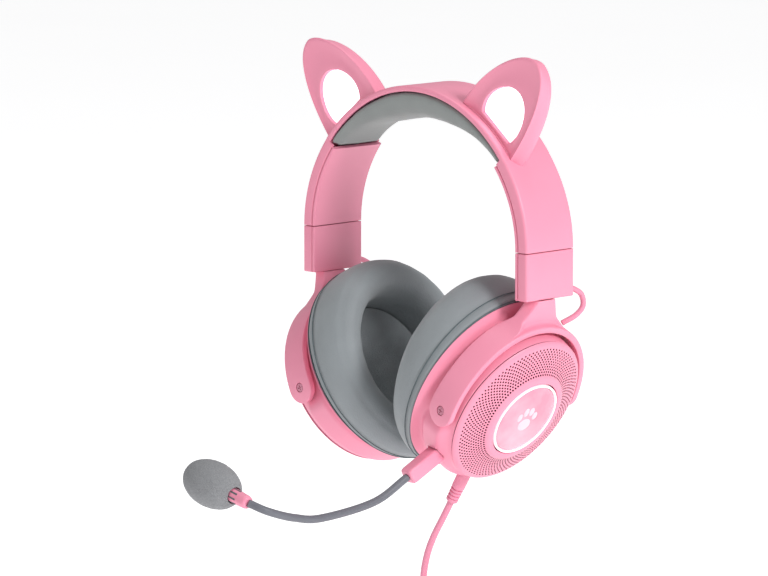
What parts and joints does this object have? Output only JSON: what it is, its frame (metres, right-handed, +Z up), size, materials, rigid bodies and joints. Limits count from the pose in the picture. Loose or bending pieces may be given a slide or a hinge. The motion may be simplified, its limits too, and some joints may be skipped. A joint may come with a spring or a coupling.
{
  "type": "gaming headset",
  "caption": "Over-ear gaming headset with a padded sprung headband, cat ears, swivelling oval cups, a detachable boom microphone and a coiled USB lead.",
  "frame": {"origin": "crown seat: the middle of the headband pad's underside, where the pad rests on the crown of the head", "axes": "+Z up, +X the wearer's left, -Y the way the wearer faces"},
  "size_m": [0.181, 0.226, 0.3943],
  "materials": {
    "pink_plastic": "soft satin moulded plastic",
    "pink_cable": "matte moulded sleeve",
    "emblem_plastic": "pearly gloss",
    "light_guide": "milky, lit from behind",
    "headband_fabric": "matte leatherette over foam",
    "cushion_leatherette": "soft matte leatherette over foam",
    "scrim_fabric": "thin woven scrim",
    "foam": "open cell foam",
    "gooseneck_sleeve": "matte sleeve",
    "black_plastic": "matte",
    "circuit_board": "solder mask",
    "steel": "brushed"
  },
  "bodies": {
    "headband": {"headband_outer_shell": "pink_plastic", "headband_spring_band": "steel", "headband_pad": "headband_fabric", "arm_inner_cover_left": "pink_plastic", "arm_inner_cover_right": "pink_plastic"},
    "ear_left": {"ear_frame_left": "pink_plastic", "ear_light_panel_left": "light_guide"},
    "slider_left": {"end_block_outer_left": "pink_plastic", "end_block_inner_left": "pink_plastic", "slider_strip_left": "steel", "swivel_screw_left": "steel", "wire_loop_left": "pink_cable"},
    "yoke_left": {"yoke_left": "pink_plastic", "pivot_screw_front_left": "steel", "pivot_screw_rear_left": "steel"},
    "cup_left": {"cup_shell_left": "pink_plastic", "grille_left": "pink_plastic", "light_ring_left": "light_guide", "emblem_left": "emblem_plastic", "led_board_left": "circuit_board", "driver_baffle_left": "black_plastic", "driver_left": "black_plastic", "scrim_left": "scrim_fabric", "ear_cushion_left": "cushion_leatherette", "main_board": "circuit_board", "strain_relief": "pink_cable", "usb_cable": "pink_cable", "cable_coil": "pink_cable", "coil_tie": "black_plastic", "usb_cable_tail": "pink_cable", "usb_plug_body": "pink_plastic", "usb_plug_shell": "steel"},
    "ear_right": {"ear_frame_right": "pink_plastic", "ear_light_panel_right": "light_guide"},
    "slider_right": {"end_block_outer_right": "pink_plastic", "end_block_inner_right": "pink_plastic", "slider_strip_right": "steel", "swivel_screw_right": "steel", "wire_loop_right": "pink_cable"},
    "yoke_right": {"yoke_right": "pink_plastic", "pivot_screw_front_right": "steel", "pivot_screw_rear_right": "steel"},
    "cup_right": {"cup_shell_right": "pink_plastic", "grille_right": "pink_plastic", "light_ring_right": "light_guide", "emblem_right": "emblem_plastic", "led_board_right": "circuit_board", "driver_baffle_right": "black_plastic", "driver_right": "black_plastic", "scrim_right": "scrim_fabric", "ear_cushion_right": "cushion_leatherette"},
    "mic_base": {"mic_plug": "pink_plastic", "gooseneck_base": "gooseneck_sleeve"},
    "mic_arm": {"gooseneck_middle": "gooseneck_sleeve"},
    "mic_head": {"gooseneck_tip": "gooseneck_sleeve", "mic_collar": "pink_plastic", "mic_capsule": "black_plastic", "windscreen": "foam"},
    "volume_dial": {"volume_wheel": "pink_plastic"},
    "mute_key": {"mute_button": "pink_plastic"}
  },
  "joints": [
    {"name": "ear_pull_left", "type": "slide", "parent": "headband", "child": "ear_left", "axis": [0.6388, 0, 0.7694], "range_m": [0, 0.012]},
    {"name": "slider_left", "type": "slide", "parent": "headband", "child": "slider_left", "axis": [0.1305, 0, -0.9914], "range_m": [0, 0.02]},
    {"name": "swivel_left", "type": "hinge", "parent": "slider_left", "child": "yoke_left", "pos_m": [0.081, 0, -0.0895], "axis": [0, 0, 1], "range_deg": [-8, 8], "deforming": ["wire_loop_left"]},
    {"name": "tilt_left", "type": "hinge", "parent": "yoke_left", "child": "cup_left", "pos_m": [0.05363, -0.0023, -0.14713], "axis": [0, -1, 0], "range_deg": [0, 28]},
    {"name": "ear_pull_right", "type": "slide", "parent": "headband", "child": "ear_right", "axis": [-0.6388, 0, 0.7694], "range_m": [0, 0.012]},
    {"name": "slider_right", "type": "slide", "parent": "headband", "child": "slider_right", "axis": [-0.1305, 0, -0.9914], "range_m": [0, 0.02]},
    {"name": "swivel_right", "type": "hinge", "parent": "slider_right", "child": "yoke_right", "pos_m": [-0.081, 0, -0.0895], "axis": [0, 0, 1], "range_deg": [-8, 8], "deforming": ["wire_loop_right"]},
    {"name": "tilt_right", "type": "hinge", "parent": "yoke_right", "child": "cup_right", "pos_m": [-0.05363, -0.0023, -0.14713], "axis": [0, 1, 0], "range_deg": [0, 28]},
    {"name": "mic_detach", "type": "slide", "parent": "cup_left", "child": "mic_base", "axis": [-0.0853, -0.8789, -0.4693], "range_m": [0, 0.02]},
    {"name": "mic_bend_base", "type": "hinge", "parent": "mic_base", "child": "mic_arm", "pos_m": [0.0343, -0.082, -0.1949], "axis": [0.9775, -0.2111, 0], "range_deg": [-35, 35]},
    {"name": "mic_bend_tip", "type": "hinge", "parent": "mic_arm", "child": "mic_head", "pos_m": [0.035, -0.1597, -0.1896], "axis": [0.9775, -0.2111, 0], "range_deg": [-30, 30]},
    {"name": "volume_turn", "type": "hinge", "parent": "cup_left", "child": "volume_dial", "pos_m": [0.03855, 0.0304, -0.16797], "axis": [0.8729, 0, -0.4879], "continuous": true},
    {"name": "mute_press", "type": "slide", "parent": "cup_left", "child": "mute_key", "axis": [0.4385, -0.4384, 0.7846], "range_m": [0, 0.0012], "stiffness_N_per_m": 900, "springref_m": -0.0008}
  ]
}
